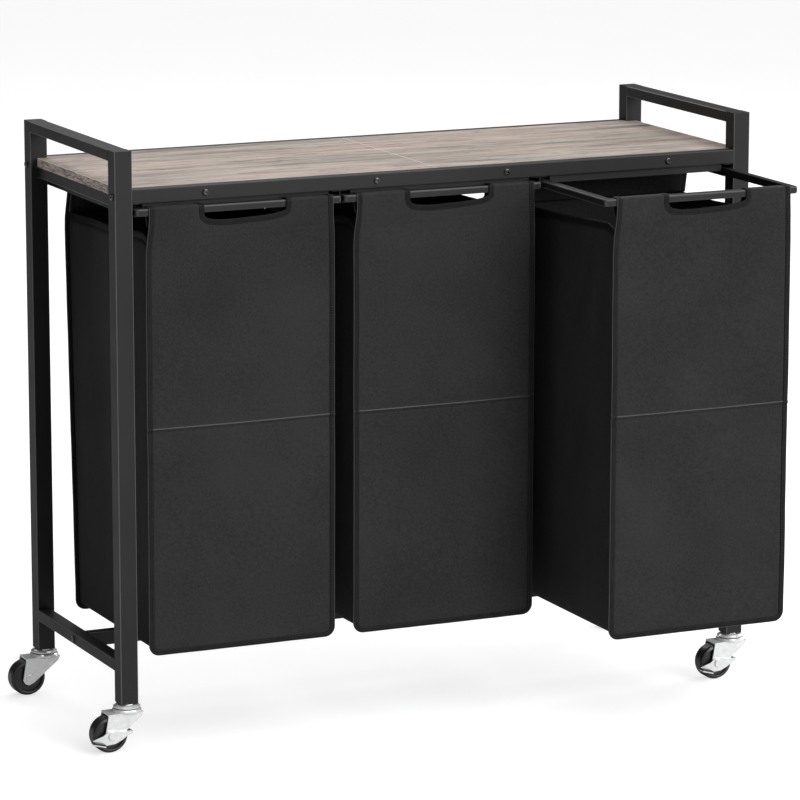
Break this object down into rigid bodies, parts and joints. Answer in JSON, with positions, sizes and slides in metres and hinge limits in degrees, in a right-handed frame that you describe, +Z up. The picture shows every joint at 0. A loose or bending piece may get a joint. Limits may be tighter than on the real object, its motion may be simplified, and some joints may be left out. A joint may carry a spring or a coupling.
{
  "type": "rolling laundry sorter",
  "caption": "Rolling laundry sorter: steel frame with a wooden shelf, cloth bags that slide out on bar frames, swivel casters with brakes.",
  "frame": {"origin": "on the floor, under the middle of the object's box as it stands, with the right bag pulled out and the casters trailing to the left", "axes": "+X to the right along the shelf, +Y to the back, +Z up"},
  "size_m": [1.002, 0.5465, 0.815],
  "materials": {
    "frame_steel": "black powder coat, fine satin texture",
    "plain_steel": "plain, hidden inside",
    "shelf_wood": "matte grey-beige oak print on particle board",
    "bag_cloth": "black woven polyester",
    "bag_board": "matte black stiffener",
    "black_bolt": "black oxide",
    "zinc": "bright zinc plate",
    "wheel_black": "semi-gloss black, smooth tread",
    "black_plastic": "matte black"
  },
  "bodies": {
    "frame": {"left_front_post": "frame_steel", "left_rear_post": "frame_steel", "left_top_rail": "frame_steel", "left_shelf_crossbar": "frame_steel", "left_lower_crossbar": "frame_steel", "right_front_post": "frame_steel", "right_rear_post": "frame_steel", "right_top_rail": "frame_steel", "right_shelf_crossbar": "frame_steel", "right_lower_crossbar": "frame_steel", "front_beam_left": "frame_steel", "front_beam_right": "frame_steel", "rear_beam_left": "frame_steel", "rear_beam_right": "frame_steel", "lower_beam_left": "frame_steel", "lower_beam_right": "frame_steel", "shelf_seam_support": "frame_steel", "front_stop_strips": "frame_steel", "left_end_rail": "frame_steel", "left_middle_rail": "frame_steel", "right_middle_rail": "frame_steel", "right_end_rail": "frame_steel", "beam_end_inserts": "plain_steel", "beam_splices": "plain_steel", "caster_bearing_balls": "plain_steel", "shelf_board_left": "shelf_wood", "shelf_board_right": "shelf_wood", "beam_bolts": "black_bolt", "side_frame_bolts": "black_bolt", "rail_screws": "black_bolt", "shelf_screws": "black_bolt", "caster_stems": "zinc", "caster_raceway_caps": "zinc", "caster_sockets": "black_plastic"},
    "left_bag": {"left_bag_frame": "frame_steel", "left_bag_cloth": "bag_cloth", "left_bag_base_board": "bag_board"},
    "middle_bag": {"middle_bag_frame": "frame_steel", "middle_bag_cloth": "bag_cloth", "middle_bag_base_board": "bag_board"},
    "right_bag": {"right_bag_frame": "frame_steel", "right_bag_cloth": "bag_cloth", "right_bag_base_board": "bag_board"},
    "front_left_swivel": {"front_left_caster_fork": "zinc", "front_left_caster_axle": "zinc"},
    "front_left_wheel": {"front_left_caster_wheel": "wheel_black"},
    "front_right_swivel": {"front_right_caster_fork": "zinc", "front_right_caster_axle": "zinc"},
    "front_right_wheel": {"front_right_caster_wheel": "wheel_black"},
    "rear_left_swivel": {"rear_left_caster_fork": "zinc", "rear_left_caster_axle": "zinc"},
    "rear_left_wheel": {"rear_left_caster_wheel": "wheel_black"},
    "rear_right_swivel": {"rear_right_caster_fork": "zinc", "rear_right_caster_axle": "zinc"},
    "rear_right_wheel": {"rear_right_caster_wheel": "wheel_black"},
    "front_left_brake": {"front_left_brake_lever": "zinc", "front_left_brake_pad": "black_plastic"},
    "front_right_brake": {"front_right_brake_lever": "zinc", "front_right_brake_pad": "black_plastic"}
  },
  "joints": [
    {"name": "left_bag_slide", "type": "slide", "parent": "frame", "child": "left_bag", "axis": [0, -1, 0], "range_m": [0, 0.25]},
    {"name": "middle_bag_slide", "type": "slide", "parent": "frame", "child": "middle_bag", "axis": [0, -1, 0], "range_m": [0, 0.25]},
    {"name": "right_bag_slide", "type": "slide", "parent": "frame", "child": "right_bag", "axis": [0, -1, 0], "range_m": [-0.18, 0.07]},
    {"name": "front_left_swivel_turn", "type": "hinge", "parent": "frame", "child": "front_left_swivel", "pos_m": [-0.444, -0.07175, 0.065], "axis": [0, 0, 1], "continuous": true},
    {"name": "front_left_wheel_roll", "type": "hinge", "parent": "front_left_swivel", "child": "front_left_wheel", "pos_m": [-0.471, -0.07175, 0.025], "axis": [0, 1, 0], "continuous": true},
    {"name": "front_right_swivel_turn", "type": "hinge", "parent": "frame", "child": "front_right_swivel", "pos_m": [0.481, -0.07175, 0.065], "axis": [0, 0, 1], "continuous": true},
    {"name": "front_right_wheel_roll", "type": "hinge", "parent": "front_right_swivel", "child": "front_right_wheel", "pos_m": [0.454, -0.07175, 0.025], "axis": [0, 1, 0], "continuous": true},
    {"name": "rear_left_swivel_turn", "type": "hinge", "parent": "frame", "child": "rear_left_swivel", "pos_m": [-0.444, 0.25325, 0.065], "axis": [0, 0, 1], "continuous": true},
    {"name": "rear_left_wheel_roll", "type": "hinge", "parent": "rear_left_swivel", "child": "rear_left_wheel", "pos_m": [-0.471, 0.25325, 0.025], "axis": [0, 1, 0], "continuous": true},
    {"name": "rear_right_swivel_turn", "type": "hinge", "parent": "frame", "child": "rear_right_swivel", "pos_m": [0.481, 0.25325, 0.065], "axis": [0, 0, 1], "continuous": true},
    {"name": "rear_right_wheel_roll", "type": "hinge", "parent": "rear_right_swivel", "child": "rear_right_wheel", "pos_m": [0.454, 0.25325, 0.025], "axis": [0, 1, 0], "continuous": true},
    {"name": "front_left_brake_press", "type": "hinge", "parent": "front_left_swivel", "child": "front_left_brake", "pos_m": [-0.471, -0.07175, 0.025], "axis": [0, -1, 0], "range_deg": [0, 11]},
    {"name": "front_right_brake_press", "type": "hinge", "parent": "front_right_swivel", "child": "front_right_brake", "pos_m": [0.454, -0.07175, 0.025], "axis": [0, -1, 0], "range_deg": [0, 11]}
  ]
}
